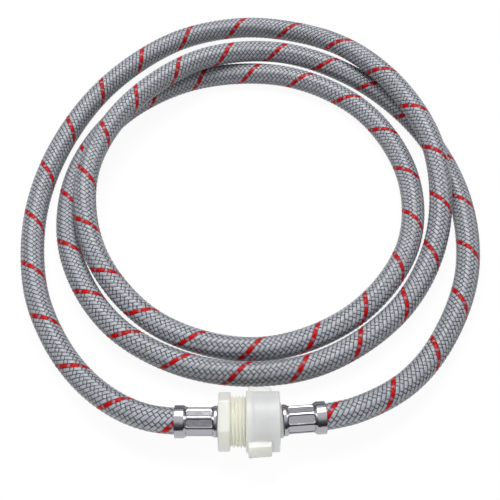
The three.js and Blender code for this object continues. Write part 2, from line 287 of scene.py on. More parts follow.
def rubberMaterial():
    material, tree = newMaterial("EPDM rubber, extruded")
    place = addNode(tree, "ShaderNodeTexCoord")
    bloom = addNode(tree, "ShaderNodeTexNoise",
                    {"Scale": grains(epdm["bloomSize"]), "Detail": 4.0},
                    {"Vector": place.outputs["Object"]})
    tone = addNode(tree, "ShaderNodeMix",
                   {6: linear(epdm["tone"]), 7: linear(epdm["bloomTone"])},
                   {0: bloom.outputs["Fac"]}, data_type="RGBA")
    grain = addNode(tree, "ShaderNodeTexNoise",
                    {"Scale": grains(epdm["grainSize"]), "Detail": 2.0},
                    {"Vector": place.outputs["Object"]})
    bump = addNode(tree, "ShaderNodeBump",
                   {"Strength": 0.25, "Distance": epdm["grainDepth"] * metre},
                   {"Height": grain.outputs["Fac"]})
    shader = addNode(tree, "ShaderNodeBsdfPrincipled",
                     {"Roughness": epdm["roughness"], "IOR": 1.5},
                     {"Base Color": tone.outputs[2], "Normal": bump.outputs["Normal"]})
    addNode(tree, "ShaderNodeOutputMaterial", links={"Surface": shader.outputs["BSDF"]})
    return material


# the water tube, seen as black between the tapes
def makeLiner(material):
    ends = [0.0, hose["end"] - hose["crimpStart"], hose["end"] - hose["mouthLength"]]
    rings = round((middle.length - 2 * hose["end"]) / hose["linerStep"])
    free = np.linspace(hose["end"], middle.length - hose["end"], rings)
    s = np.r_[ends, free, [middle.length - end for end in reversed(ends)]]
    angle = np.linspace(0, 2 * math.pi, hose["linerSides"], endpoint=False)
    outside = layerRadius(s, hose["liner"], hose["crimpedLiner"])
    wall = layerRadius(s, hose["linerWall"], hose["crimpedLinerWall"])
    outer = middle.around(s[:, None], angle, outside[:, None])
    inner = middle.around(s[::-1, None], angle, (outside - wall)[::-1, None])
    points = np.concatenate([outer, inner]).reshape(-1, 3)
    faces = loftFaces(2 * len(s), hose["linerSides"], ringsMeet=True)
    liner = makePiece("water_tube", points, faces, material, "hose", 0)
    faceOut(liner)
    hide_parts("inner_tube")
    return liner


# The braid: flat tapes wound both ways round, over two and under one.
braid = {
    "tapes": 12,  # each way
    "pitch": 36.3,  # along the hose for one turn
    "width": 2.22,
    "tracerWidth": 2.3,
    "middle": 6.76,  # radius halfway between the upper and the lower tapes
    "rise": 0.2,
    "sag": 0.7,  # of the rise, between two crossings
    "crimpedRise": 0.5,  # of the rise, in the ferrules
    "crown": 0.2,
    "margin": 0.6,  # short of the hose's two ends
    "offset": math.radians(10),  # between the two windings
    "twistSoft": 25.0,  # either side of a place, over which the twist is evened out
    "showThrough": 1.5,  # how strongly the tracer shows through a tape that crosses it
    "showFade": 1.8,  # and how fast that fades, for each crossing further on
}
# a tape's four lines of points: the place on its half width, and the share of the crown's drop
tapeSection = [(-1, 1), (-0.4, 0), (0.4, 0), (1, 1)]
# how far the hose has turned about itself as it lies, in degrees at places along it
twist = [
    (0, 180), (60, 165), (130, 160), (200, 154), (260, 181), (330, 228), (400, 268), (460, 297),
    (520, 374), (580, 395), (620, 382), (660, 344), (760, 373), (800, 360), (850, 326),
    (900, 285), (960, 276), (1050, 274), (1110, 273), (1170, 239), (1240, 217), (1300, 212),
    (1350, 207), (1400, 176), (1450, 153), (1500, 130), (1550, 92), (1600, 37), (1680, 6),
    (1750, -16), (1840, 5), (1920, -16), (2000, -7), (2060, -9), (2110, -25), (2170, 5),
    (2240, -2),
]


def smoothTwist():
    places, turns = zip(*twist)
    raw = np.radians(np.interp(middle.at, places, turns))
    reach = round(braid["twistSoft"] / middle.step)
    window = np.hanning(2 * reach + 1)
    padded = np.pad(raw, reach, mode="edge")
    return np.convolve(padded, window / window.sum(), mode="valid")


twistAlong = smoothTwist()


# One tape from end to end. direction is -1 for the windings that hold the red tracer and 1 for
# those that cross them; also gives how near each point lies to the tracer below it, and how high
# the tape stands there.
def tapePoints(direction, index, width):
    tapes = braid["tapes"]
    toCrossing = 2 * tapes / braid["pitch"]  # crossings in a millimetre of hose
    shift = direction * braid["offset"] * tapes / (2 * math.pi) + index
    ends = [braid["margin"], middle.length - braid["margin"]]
    first, last = sorted(direction * end * toCrossing + shift for end in ends)
    halves = np.arange(math.ceil(first * 2), math.floor(last * 2) + 1) / 2
    crossing = np.r_[first, halves, last]
    crossing = crossing if direction > 0 else crossing[::-1]
    s = (crossing - shift) / (direction * toCrossing)
    angle = (direction * 2 * math.pi * s / braid["pitch"] + np.interp(s, middle.at, twistAlong)
             + 2 * math.pi * index / tapes + max(direction, 0) * braid["offset"])

    def height(whole):
        over = (whole + index) % 3 != 0  # two of every three
        return np.where(over, 1.0, -1.0) * -direction

    part = crossing - np.floor(crossing)
    sag = braid["sag"] * (1 - np.abs(2 * part - 1))
    part = part * part * (3 - 2 * part)
    lift = height(np.floor(crossing)) * (1 - part) + height(np.floor(crossing) + 1) * part - sag
    rise = braid["rise"] * layerRadius(s, 1.0, braid["crimpedRise"])
    radius = layerRadius(s, braid["middle"], hose["crimpedBraid"]) + rise * lift
    slope = math.atan(2 * math.pi * braid["middle"] / braid["pitch"])
    points = []
    for across, drop in tapeSection:
        offset = across * width / 2
        alongShift = -direction * math.sin(slope) * offset
        turnShift = math.cos(slope) * offset / braid["middle"]
        where = np.clip(s + alongShift, 0, middle.length)
        points.append(middle.around(where, angle + turnShift, radius - drop * braid["crown"]))
    points = np.stack(points, axis=1)
    fromTracer = np.abs((crossing + tapes / 2) % tapes - tapes / 2)
    overTracer = np.clip(braid["showThrough"] - braid["showFade"] * fromTracer, 0, 1)
    overTracer *= direction > 0
    return points, s, overTracer, (1 + lift) / 2


# several tapes as one piece, with the place across and along each tape as its UVs
def makeTapes(name, direction, indices, material, width=braid["width"]):
    lines = len(tapeSection)
    strips, faces, lengths, tints, lifts, base = [], [], [], [], [], 0
    for index in indices:
        points, s, tint, lift = tapePoints(direction, index, width)
        strip = loftFaces(len(points), lines, ringsMeet=False, aroundMeets=False) + base
        strips.append(points.reshape(-1, 3))
        faces.append(strip)
        lengths.append(np.repeat(s, lines))
        tints.append(np.repeat(tint, lines))
        lifts.append(np.repeat(lift, lines))
        base += lines * len(points)
    tapes = makePiece(name, np.concatenate(strips), np.concatenate(faces), material, "hose",
                      0)
    mesh = tapes.data
    corner = np.empty(len(mesh.loops), dtype=np.int32)
    mesh.loops.foreach_get("vertex_index", corner)
    across = np.array([place for place, _ in tapeSection]) / 2 + 0.5
    layer = mesh.uv_layers.new(name="tape")
    pairs = np.stack([across[corner % lines], np.concatenate(lengths)[corner] * metre], axis=1)
    layer.data.foreach_set("uv", pairs.astype(np.float32).ravel())
    addShade(tapes, "overTracer", np.concatenate(tints))
    addShade(tapes, "lift", np.concatenate(lifts))
    return tapes


# Polyamide tape, drawn and laid flat: each tape is a few bright filaments side by side, half
# clear, so it glints on its crown and lets the red tracer show through; its edges and where it
# dives under the next take painted shade. The filaments are drawn twice as wide as real ones, to
# show.
tape = {
    "filaments": 4,
    # edge is the share of the width over which each side takes painted shade
    "grey": {"light": "#dee1ea", "dark": "#71757e", "shadeTone": "#0f1013", "edge": 0.19,
             "gloss": 0.5},
    "red": {"light": "#e60203", "dark": "#960104", "shadeTone": "#960104", "edge": 0.1,
            "gloss": 0.15},
    "overRed": "#b83a52",
    "dive": 0.06,  # lift at which a tape is all painted shade
    "clear": 0.62,  # and at which it is out of it
    "mottleSize": 1.92,
    "filamentDepth": 0.12,
    "roughness": 0.3,
}


def tapeMaterial(name, isTracer):
    material, tree = newMaterial(name)
    look = tape["red" if isTracer else "grey"]
    place = addNode(tree, "ShaderNodeTexCoord")
    across = addNode(tree, "ShaderNodeUVMap", uv_map="tape")
    split = addNode(tree, "ShaderNodeSeparateXYZ", links={"Vector": across.outputs["UV"]})
    # a round back on every filament, for the bump and for painted shade between the filaments
    phase = addNode(tree, "ShaderNodeMath", {1: tape["filaments"] * math.pi},
                    {0: split.outputs["X"]}, operation="MULTIPLY")
    swing = addNode(tree, "ShaderNodeMath", links={0: phase.outputs[0]}, operation="SINE")
    size = addNode(tree, "ShaderNodeMath", links={0: swing.outputs[0]}, operation="ABSOLUTE")
    ridge = addNode(tree, "ShaderNodeMath", {1: 0.5}, {0: size.outputs[0]}, operation="POWER")
    # painted shade: how far the surface stands clear of the tape's edges and of the tapes that
    # cover it
    inward = addNode(tree, "ShaderNodeMath", {1: 0.5}, {0: split.outputs["X"]},
                     operation="PINGPONG")
    edge = addNode(tree, "ShaderNodeMapRange", {2: look["edge"]}, {0: inward.outputs[0]},
                   interpolation_type="SMOOTHSTEP")
    lift = addNode(tree, "ShaderNodeAttribute", attribute_name="lift")
    high = addNode(tree, "ShaderNodeMapRange", {1: tape["dive"], 2: tape["clear"]},
                   {0: lift.outputs["Fac"]}, interpolation_type="SMOOTHSTEP")
    crown = addNode(tree, "ShaderNodeMath", links={0: edge.outputs[0], 1: high.outputs[0]},
                    operation="MULTIPLY")
    mottle = addNode(tree, "ShaderNodeTexNoise",
                     {"Scale": grains(tape["mottleSize"]), "Detail": 2.0, "Roughness": 0.6},
                     {"Vector": place.outputs["Object"]})
    yarn = addNode(tree, "ShaderNodeMix", {6: linear(look["dark"]), 7: linear(look["light"])},
                   {0: mottle.outputs["Fac"]}, data_type="RGBA")
    # painted shade between the filaments: the dark tone where the ridge is low
    body = addNode(tree, "ShaderNodeMix", {6: linear(look["dark"])},
                   {0: ridge.outputs[0], 7: yarn.outputs[2]}, data_type="RGBA")
    if not isTracer:
        below = addNode(tree, "ShaderNodeAttribute", attribute_name="overTracer")
        body = addNode(tree, "ShaderNodeMix", {7: linear(tape["overRed"])},
                       {0: below.outputs["Fac"], 6: body.outputs[2]}, data_type="RGBA")
    # painted shade at the tape's edges and where it dives under the next, in the shade tone
    colour = addNode(tree, "ShaderNodeMix", {6: linear(look["shadeTone"])},
                     {0: crown.outputs[0], 7: body.outputs[2]}, data_type="RGBA")
    bump = addNode(tree, "ShaderNodeBump",
                   {"Strength": 0.5, "Distance": tape["filamentDepth"] * metre},
                   {"Height": ridge.outputs[0]})
    shader = addNode(tree, "ShaderNodeBsdfPrincipled",
                     {"Roughness": tape["roughness"], "IOR": 1.53,
                      "Specular IOR Level": look["gloss"]},
                     {"Base Color": colour.outputs[2], "Normal": bump.outputs["Normal"]})
    addNode(tree, "ShaderNodeOutputMaterial", links={"Surface": shader.outputs["BSDF"]})
    return material


rubber = rubberMaterial()
greyTape = tapeMaterial("polyamide tape, drawn, grey", False)
redTape = tapeMaterial("polyamide tape, drawn, red", True)
liner = makeLiner(rubber)
tracer = makeTapes("braid_tracer", -1, [0], redTape, braid["tracerWidth"])
tapesRight = [makeTapes("braid_right_1", -1, range(1, 6), greyTape),
              makeTapes("braid_right_2", -1, range(6, 12), greyTape)]
tapesLeft = [makeTapes("braid_left_1", 1, range(0, 6), greyTape),
             makeTapes("braid_left_2", 1, range(6, 12), greyTape)]
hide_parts("braided_sleeve")
(middle.around(np.arange(0, middle.length, hose["pathStep"]), 0.0, 0.0)
          * metre).tolist()
print("hose braided")

# Everything screwed or crimped is drawn as rings about the fittings' axis. An angle of 0 looks to
# the front and 90 degrees looks up.
def aboutAxis(x, radius, angle):
    x, radius, angle = np.broadcast_arrays(x, radius, angle)
    return np.stack([x, -radius * np.cos(angle), axisHeight + radius * np.sin(angle)], axis=-1)


# turned about the tail's pivot, as the nut's end of the hose leans
def leaned(points):
    reach, across = points[..., 0] - tailPivot, points[..., 1]
    x = tailPivot + reach * math.cos(tailLean) - across * math.sin(tailLean)
    y = reach * math.sin(tailLean) + across * math.cos(tailLean)
    return np.stack([x, y, points[..., 2]], axis=-1)


# a closed section's corners rounded off; a third number in a corner is its own rounding
def softened(section, rounding, steps=3):
    corners = [np.array(corner[:2], float) for corner in section]
    result = []
    for i, corner in enumerate(corners):
        own = section[i][2] if len(section[i]) > 2 else rounding
        before = corners[i - 1] - corner
        after = corners[(i + 1) % len(corners)] - corner
        # two roundings never meet on the side between them
        cut = min(own, 0.45 * min(np.linalg.norm(before), np.linalg.norm(after)))
        if cut < 0.01:
            result.append(corner)
            continue
        start = corner + before / np.linalg.norm(before) * cut
        end = corner + after / np.linalg.norm(after) * cut
        for t in np.linspace(0, 1, steps + 1):
            result.append((1 - t) ** 2 * start + 2 * t * (1 - t) * corner + t ** 2 * end)
    return np.array(result)


# 0 up to low, 1 from high on, and smooth between them
def fade(low, high, value):
    t = np.clip((value - low) / (high - low), 0, 1)
    return t * t * (3 - 2 * t)


# three-quarter inch pipe thread, as moulded: crests and roots a little blunt
thread = {
    "crest": 13.22,
    "root": 12.06,
    "pitch": 1.814,
    "gap": 0.45,  # between the two threads, out from the axis
    "crestFlat": 0.1,
    "rootFlat": 0.12,
    "rings": 14,  # to a turn
    "nutRings": 10,
}


# height of a right-hand thread, 0 in its root and 1 on its crest
def threadHeight(x, angle):
    turn = (x - hexFace) / thread["pitch"] - (math.pi - angle) / (2 * math.pi)
    part = turn - np.floor(turn)
    slant = 1 - np.abs(2 * part - 1)
    flank = 1 - thread["rootFlat"] - thread["crestFlat"]
    return np.clip((slant - thread["rootFlat"]) / flank, 0, 1)


# The barbed spigot, from the tip back to where it meets the wall it stands on.
spigot = {
    "bore": 3.5,
    "radius": 4.1,
    "barb": 0.25,
    "barbs": 3,
    "barbPitch": 5.2,
    "barbFoot": 0.7,  # of the pitch, before the barb's end
    "barbTop": 0.6,
    "length": 17.6,
}


def spigotSection(root, direction):
    radius, barb, pitch = spigot["radius"], spigot["barb"], spigot["barbPitch"]
    section = [(root, radius)]
    for i in range(spigot["barbs"]):
        back = (i + 1) * pitch
        section += [(root + direction * (back - spigot["barbFoot"] * pitch), radius),
                    (root + direction * (back - spigot["barbTop"] * pitch), radius + barb),
                    (root + direction * back, radius)]
    section.append((root + direction * spigot["length"], radius - barb))
    return section


# Natural polyamide, injection moulded: milky and half clear with a satin skin, so light soaks in
# and edges glow.
# In recesses, as in the thread's roots and inside the nut, it takes a painted shade, faintly
# yellow.
plastic = {
    "milk": "#edede5",
    "shade": "#e6e6da",
    "recessShade": "#dedcbd",
    "washerShadeTone": "#d1d1ca",
    "cloudSize": 16.7,
    "grainSize": 0.77,
    "grainDepth": 0.1,
    "roughness": 0.42,
    "soak": (0.008, 0.0076, 0.006),  # metres that red, green and blue light travel in it
}


def plasticMaterial(name, showsWasher=False):
    material, tree = newMaterial(name)
    place = addNode(tree, "ShaderNodeTexCoord")
    cloud = addNode(tree, "ShaderNodeTexNoise",
                    {"Scale": grains(plastic["cloudSize"]), "Detail": 3.0},
                    {"Vector": place.outputs["Object"]})
    milk = addNode(tree, "ShaderNodeMix",
                   {6: linear(plastic["shade"]), 7: linear(plastic["milk"])},
                   {0: cloud.outputs["Fac"]}, data_type="RGBA")
    # painted shade in recesses, read from the pieces' points
    recessShade = addNode(tree, "ShaderNodeAttribute", attribute_name="recessShade")
    colour = addNode(tree, "ShaderNodeMix", {7: linear(plastic["recessShade"])},
                     {0: recessShade.outputs["Fac"], 6: milk.outputs[2]}, data_type="RGBA")
    # painted shade of the dark washer inside the nut's thin wall
    if showsWasher:
        washerShade = addNode(tree, "ShaderNodeAttribute", attribute_name="washerShade")
        colour = addNode(tree, "ShaderNodeMix", {7: linear(plastic["washerShadeTone"])},
                         {0: washerShade.outputs["Fac"], 6: colour.outputs[2]}, data_type="RGBA")
    grain = addNode(tree, "ShaderNodeTexNoise",
                    {"Scale": grains(plastic["grainSize"]), "Detail": 3.0},
                    {"Vector": place.outputs["Object"]})
    bump = addNode(tree, "ShaderNodeBump",
                   {"Strength": 0.12, "Distance": plastic["grainDepth"] * metre},
                   {"Height": grain.outputs["Fac"]})
    shader = addNode(tree, "ShaderNodeBsdfPrincipled",
                     {"Roughness": plastic["roughness"], "IOR": 1.53, "Subsurface Weight": 1.0,
                      "Subsurface Radius": plastic["soak"], "Subsurface Scale": 1.0},
                     {"Base Color": colour.outputs[2], "Normal": bump.outputs["Normal"]})
    addNode(tree, "ShaderNodeOutputMaterial", links={"Surface": shader.outputs["BSDF"]})
    return material


# The threaded connector: hexagon, thread and spigot in one moulding.
connector = {
    "hexRear": -16.5,
    "acrossFlats": 27.0,
    "cornerRadius": 15.42,  # its corners are rounded down to this
    "hexCorner": 49.0,  # degrees up from the front, to the first corner
    "hexEdge": 0.45,
    "threadChamfer": 0.9,
    "threadRunOut": 1.5,  # slope of the last crest, down to the end face
    "boreChamfer": 0.4,
    "tipEdge": 0.2,
    "rootShade": 0.5,  # painted shade in the thread's roots: how dark and yellow they look
    "rootShadePower": 2.2,
    "sides": 180,
}
# a rounded edge, as shares of its size: along the axis, and in from the outside
roundOver = [(0, 1), (0.15, 0.5), (0.5, 0.15), (1, 0)]


def makeConnector(material):
    size = connector
    angle = np.radians(size["hexCorner"] + np.arange(size["sides"]) * 360 / size["sides"])
    fromFlat = (angle - math.radians(size["hexCorner"])) % (math.pi / 3) - math.pi / 6
    hexagon = np.minimum(size["acrossFlats"] / 2 / np.cos(fromFlat), size["cornerRadius"])
    rear, edge, chamfer = size["hexRear"], size["hexEdge"], size["boreChamfer"]
    rings = [(x, np.full(len(angle), r)) for x, r in reversed(spigotSection(rear, -1))]
    rings += [(rear + x * edge, hexagon - inset * edge) for x, inset in roundOver]
    rings += [(hexFace - x * edge, hexagon - inset * edge) for x, inset in reversed(roundOver)]
    count = round((maleEnd - hexFace) / thread["pitch"] * thread["rings"])
    recessShade = [np.zeros(len(angle))] * len(rings)
    depth = thread["crest"] - thread["root"]
    for x in np.linspace(hexFace, maleEnd, count):
        runOut = size["threadRunOut"] * (maleEnd - size["threadChamfer"] - x)
        lead = min((x - hexFace) * depth / size["threadChamfer"], depth + runOut, depth)
        height = np.minimum(threadHeight(x, angle) * depth, lead)
        rings.append((x, thread["root"] + height))
        # painted shade in the thread's roots, strongest at their bottom
        recessShade.append(size["rootShade"] * (1 - height / depth) ** size["rootShadePower"])
    bore = [(maleEnd, spigot["bore"] + chamfer), (maleEnd - chamfer, spigot["bore"]),
            (rear - spigot["length"] + size["tipEdge"], spigot["bore"])]
    rings += [(x, np.full(len(angle), r)) for x, r in bore]
    recessShade += [np.zeros(len(angle))] * len(bore)
    x = np.array([ring[0] for ring in rings])[:, None]
    points = aboutAxis(x, np.stack([ring[1] for ring in rings]), angle).reshape(-1, 3)
    faces = loftFaces(len(rings), len(angle), ringsMeet=True)
    piece = makePiece("threaded_connector", points, faces, material, "hose",
                      mouldedSharp)
    faceOut(piece)
    addShade(piece, "recessShade", np.stack(recessShade))
    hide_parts("male_connector")
    return piece


# The swivel nut: a round body with a rim at its front and two lugs for the fingers.
nut = {
    "front": -2.2,
    "rear": 15.1,
    "radius": 15.45,
    "rim": 15.9,
    "rimLength": 2.6,
    "rimFade": 1.8,
    "edge": 0.6,
    "shoulder": 12.6,  # inner face of the rear wall
    "throat": 9.8,
    "relief": 13.5,
    "reliefStart": 8.2,
    "throatEdge": 0.4,
    "leadIn": 1.0,  # how far its mouth is opened out beyond the crests
    "leadSlope": 2.0,
    "lugAngle": 8.0,  # degrees up from the front; the other is opposite
    "lugWallAngle": 19,  # degrees from a lug's middle to where its side walls are
    "lugWallReach": 7,  # half degrees either side of that, with closer points
    "lugStart": -1.0,
    "lugEnd": 11.0,
    "lugHalfWidth": 5.3,
    "lugFront": 18.4,
    "lugRear": 17.3,
    "lugEdge": 0.6,
    "lugDraft": 0.05,  # how far each end wall of a lug leans
    "lugShoulder": 1.2,  # its long edges are rounded over this
    "lugRounding": 0.3,
    "lugRings": (0.4, 0.9),  # where they start, and how far apart they are
    "bodyRings": (11.6, 13.2),
    "skin": 1.0,  # depth of what counts as its outside
    # painted shade on the nut's inside
    "insideShade": 0.35,
    "washerBand": (2.0, 5.5, 9.0, 12.0),  # painted shade of the dark washer inside, from here to here
    # where that painted shade is darkest, in degrees up from the front
    "washerAngle": 22.0,
    "washerEven": 0.05,
    "washerSpot": 0.3,
    "washerSpotPower": 6,
}


# every two degrees round the nut, and every half degree at the lugs' side walls
def nutAngles():
    halfDegrees = set(range(0, 720, 4))
    reach = nut["lugWallReach"]
    for lug in (0, 180):
        for wall in (-1, 1):
            near = 2 * (nut["lugAngle"] + lug + wall * nut["lugWallAngle"])
            halfDegrees |= {round(near + step) % 720 for step in range(-reach, reach + 1)}
    return np.radians(np.array(sorted(halfDegrees)) / 2)


# radius of the nut's outside at a place along the axis, with or without the lugs
def nutOutside(x, angle, lug):
    fromRim = x - nut["front"] - nut["rimLength"]
    body = nut["rim"] - (nut["rim"] - nut["radius"]) * fade(0, nut["rimFade"], fromRim)
    for end in (x - nut["front"], nut["rear"] - x):
        if end < nut["edge"]:
            body -= nut["edge"] - math.sqrt(max(0, nut["edge"] ** 2 - (nut["edge"] - end) ** 2))
    if not lug:
        return np.full(len(angle), body)
    edge = nut["lugEdge"]
    inset = 0.0
    for end in (x - nut["lugStart"], nut["lugEnd"] - x):
        if end < edge:
            inset = edge - math.sqrt(max(0, edge ** 2 - (edge - end) ** 2))
    share = (x - nut["lugStart"]) / (nut["lugEnd"] - nut["lugStart"])
    top = nut["lugFront"] + (nut["lugRear"] - nut["lugFront"]) * share - inset
    turned = (angle - math.radians(nut["lugAngle"]) + math.pi / 2) % math.pi - math.pi / 2
    side = (nut["lugHalfWidth"] - inset) / np.maximum(np.abs(np.sin(turned)), 0.01)
    crown = top / np.cos(turned)
    over = np.minimum(side, crown)
    close = np.clip(1 - np.abs(side - crown) / nut["lugShoulder"], 0, 1)
    over -= nut["lugRounding"] * close ** 2
    return np.maximum(over, body)


def makeNut(material):
    angle = nutAngles()
    edge = nut["edge"]
    front, rear, start, end = nut["front"], nut["rear"], nut["lugStart"], nut["lugEnd"]
    curve = np.array([0.0, 0.08, 0.25, 0.55, 1.0])  # rings over a rounded edge
    outside = [(front + d * edge, False) for d in curve]
    draft = nut["lugDraft"]
    outside += [(start - draft, False)] + [(start + d * nut["lugEdge"], True) for d in curve]
    first, apart = nut["lugRings"]
    outside += [(x, True) for x in np.arange(first, end - nut["lugEdge"], apart)]
    outside += [(end - d * nut["lugEdge"], True) for d in reversed(curve)] + [(end + draft, False)]
    outside += [(x, False) for x in nut["bodyRings"]]
    outside += [(rear - d * edge, False) for d in reversed(curve)]
    rings = [(x, nutOutside(x, angle, lug)) for x, lug in outside]
    crest, root = thread["crest"] + thread["gap"], thread["root"] + thread["gap"]

    throatEdge = nut["throatEdge"]
    for x, radius in ((rear, nut["throat"] + throatEdge), (rear - throatEdge, nut["throat"]),
                      (nut["shoulder"], nut["throat"]), (nut["shoulder"], nut["relief"]),
                      (nut["reliefStart"], nut["relief"])):
        rings.append((x, np.full(len(angle), radius)))
    count = round((nut["reliefStart"] - front) / thread["pitch"] * thread["nutRings"])
    for x in np.linspace(nut["reliefStart"], front, count):
        lead = crest + nut["leadIn"] - (x - front) * nut["leadSlope"]
        rings.append((x, np.maximum(root + threadHeight(x, angle) * (crest - root), lead)))
    x = np.array([ring[0] for ring in rings])[:, None]
    radius = np.stack([ring[1] for ring in rings])
    points = aboutAxis(x, radius, angle).reshape(-1, 3)
    faces = loftFaces(len(rings), len(angle), ringsMeet=True)
    piece = makePiece("swivel_nut_moulding", points, faces, material, "nut",
                      mouldedSharp)
    faceOut(piece)
    # painted shade on everything inside the nut's outer skin
    outer = radius > nut["radius"] - nut["skin"]
    addShade(piece, "recessShade", np.where(outer, 0.0, nut["insideShade"]))
    # painted shade of the washer inside: a faint band all round, darker towards one side
    starts, full, fades, ends = nut["washerBand"]
    band = fade(starts, full, x) * (1 - fade(fades, ends, x))
    spot = np.clip(np.cos(angle - math.radians(nut["washerAngle"])), 0, 1)
    shows = nut["washerEven"] + nut["washerSpot"] * spot ** nut["washerSpotPower"]
    addShade(piece, "washerShade", np.where(outer, band * shows, 0.0))
    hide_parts("swivel_nut")
    return piece


# The tail piece and its washer, which the nut pulls against the connector.
tail = {
    "front": 7.82,
    "flange": 11.7,
    "flangeLength": 2.4,
    "stem": 8.9,
    "stemEnd": 16.4,
    "edge": 0.3,
    "boreEdge": 0.2,
    "stemFoot": 0.5,
    "stemEdge": 0.4,
    "sides": 96,
}
washer = {"front": 4.6, "rear": 6.6, "radius": 11.8, "hole": 6.6, "edge": 0.25, "sides": 64}


# a section of places along the axis and radii, turned about the axis
def makeTurned(name, section, sides, material, body, node, leans):
    angle = np.linspace(0, 2 * math.pi, sides, endpoint=False)
    points = aboutAxis(section[:, :1], section[:, 1:], angle)
    points = (leaned(points) if leans else points).reshape(-1, 3)
    faces = loftFaces(len(section), sides, ringsMeet=True)
    piece = makePiece(name, points, faces, material, body, mouldedSharp)
    faceOut(piece)
    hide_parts(node)
    return piece


def makeTail(material):
    front, back = tail["front"], tail["front"] + tail["flangeLength"]
    section = [(front, spigot["bore"], tail["boreEdge"]), (front, tail["flange"]),
               (back, tail["flange"]), (back, tail["stem"], tail["stemFoot"]),
               (tail["stemEnd"], tail["stem"], tail["stemEdge"]),
               *[(x, r, 0) for x, r in spigotSection(tail["stemEnd"], 1)],
               (tail["stemEnd"] + spigot["length"], spigot["bore"], 0)]
    return makeTurned("tail_moulding", softened(section, tail["edge"]), tail["sides"], material,
                      "hose", "tail_piece", True)


def makeWasher(material):
    section = [(washer["front"], washer["hole"]), (washer["front"], washer["radius"]),
               (washer["rear"], washer["radius"]), (washer["rear"], washer["hole"])]
    return makeTurned("washer_ring", softened(section, washer["edge"]), washer["sides"], material,
                      "washer", "sealing_washer", False)


# The crimped ferrules, measured from the mouth that takes the hose.
ferrule = {
    "length": 22.2,
    "mouth": 8.5,
    "mouthLength": 4.6,
    "crimpStart": 6.5,
    "crimp": 7.55,
    "crimpEnd": 19.2,
    "crimpInside": 6.45,
    "wall": 0.5,
    "lip": 8.2,
    "lipWall": 0.8,
    "lipHole": 4.65,
    "lipRoll": [(0.62, 0.0), (0.3, 0.06), (0.08, 0.28), (0.0, 0.6)],  # back from its end, and in
    "holeEdge": 0.15,
    "mouthRound": [(0.0, 0.12), (0.04, 0.05), (0.12, 0.01)],  # back from the mouth, and in
    "mouthEdge": (0.06, 0.08),
    # where its other rings start and stop, and how many: close where the shell bends
    "rings": [(0.25, 4.2, 6), (4.5, 6.6, 10), (6.8, 18.9, 46), (19.1, 21.2, 11)],
    "bellySoft": 0.3,
    "flareSoft": (0.6, 0.4),
    "panels": 8,
    "panelLength": 14.0,
    "panelWidth": 4.4,
    "panelDepth": 0.6,
    "panelCorner": 1.5,
    "panelSoft": 0.3,
    "leftTurn": 60.0,  # degrees up from the front, to the middle of a panel
    "rightTurn": 66.0,
    "acrossPanel": 34,  # points round each panel
    "sharp": 32,  # degrees, as mouldedSharp is for the plastic
}


# radius of the shell without its panels: wide mouth, crimp, and a flare at the lip
def ferruleOutside(x):
    size = ferrule
    soft, (before, after) = size["bellySoft"], size["flareSoft"]
    crimped = fade(size["mouthLength"] - soft, size["crimpStart"] + soft, x)
    flared = fade(size["crimpEnd"] - before, size["length"] - size["lipWall"] - after, x)
    return (size["mouth"] - (size["mouth"] - size["crimp"]) * crimped
            + (size["lip"] - size["crimp"]) * flared)


def makeFerrule(name, material, node, turn, mirrored, place):
    size = ferrule
    pitch = 2 * math.pi / size["panels"]
    steps = np.arange(size["panels"] * size["acrossPanel"])
    angle = math.radians(turn) + steps * (pitch / size["acrossPanel"])
    fromPanel = (angle - math.radians(turn) + pitch / 2) % pitch - pitch / 2
    lipStart, length = size["length"] - size["lipWall"], size["length"]
    mouthPlaces, mouthInsets = zip(*size["mouthRound"])
    x = np.r_[mouthPlaces, np.concatenate([np.linspace(*part) for part in size["rings"]])][:, None]
    outer = ferruleOutside(x)
    outer[:len(mouthInsets), 0] -= mouthInsets
    middleX = (size["crimpStart"] + size["crimpEnd"]) / 2
    flat = size["crimp"] - size["panelDepth"]
    across = flat * np.tan(fromPanel)[None, :]
    cornerX = np.abs(x - middleX) - (size["panelLength"] / 2 - size["panelCorner"])
    cornerY = np.abs(across) - (size["panelWidth"] / 2 - size["panelCorner"])
    outside = np.hypot(np.maximum(cornerX, 0), np.maximum(cornerY, 0)) - size["panelCorner"]
    outside = outside + np.minimum(np.maximum(cornerX, cornerY), 0)
    sunk = 1 - fade(-size["panelSoft"], size["panelSoft"], outside)
    floor = flat / np.cos(fromPanel)[None, :]
    outer = outer * (1 - sunk) + np.minimum(floor, outer) * sunk
    inside, holeEdge, (mouthBack, mouthOut) = (
        size["mouth"] - size["wall"], size["holeEdge"], size["mouthEdge"])
    # over the lip, in through its hole and back along the inside
    rest = [(length - back, size["lip"] - inward) for back, inward in size["lipRoll"]]
    rest += [(length, size["lipHole"] + holeEdge), (length - holeEdge, size["lipHole"]),
             (lipStart, size["lipHole"]), (lipStart, size["crimpInside"]),
             (size["crimpStart"], size["crimpInside"]), (size["mouthLength"], inside),
             (mouthBack, inside), (0.0, inside + mouthOut)]
    along = np.r_[x[:, 0], [place for place, _ in rest]][:, None]
    radius = np.vstack([outer, [np.full(len(angle), r) for _, r in rest]])
    if mirrored:
        points = leaned(aboutAxis(place - along, radius, angle))
    else:
        points = aboutAxis(place + along, radius, angle)
    faces = loftFaces(len(along), len(angle), ringsMeet=True)
    piece = makePiece(name, points.reshape(-1, 3), faces, material, "hose",
                      size["sharp"])
    faceOut(piece)
    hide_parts(node)
    return piece


# Stainless steel, drawn, crimped and polished: bright and a little rippled by the crimping, so it
# shows hard white and near black bands.
steel = {
    "tone": "#acaab0",
    "roughness": 0.17,
    "rippleSize": 6.25,
    "rippleDepth": 0.6,
    "scratchSize": 0.385,
    "scratchDepth": 0.05,
}


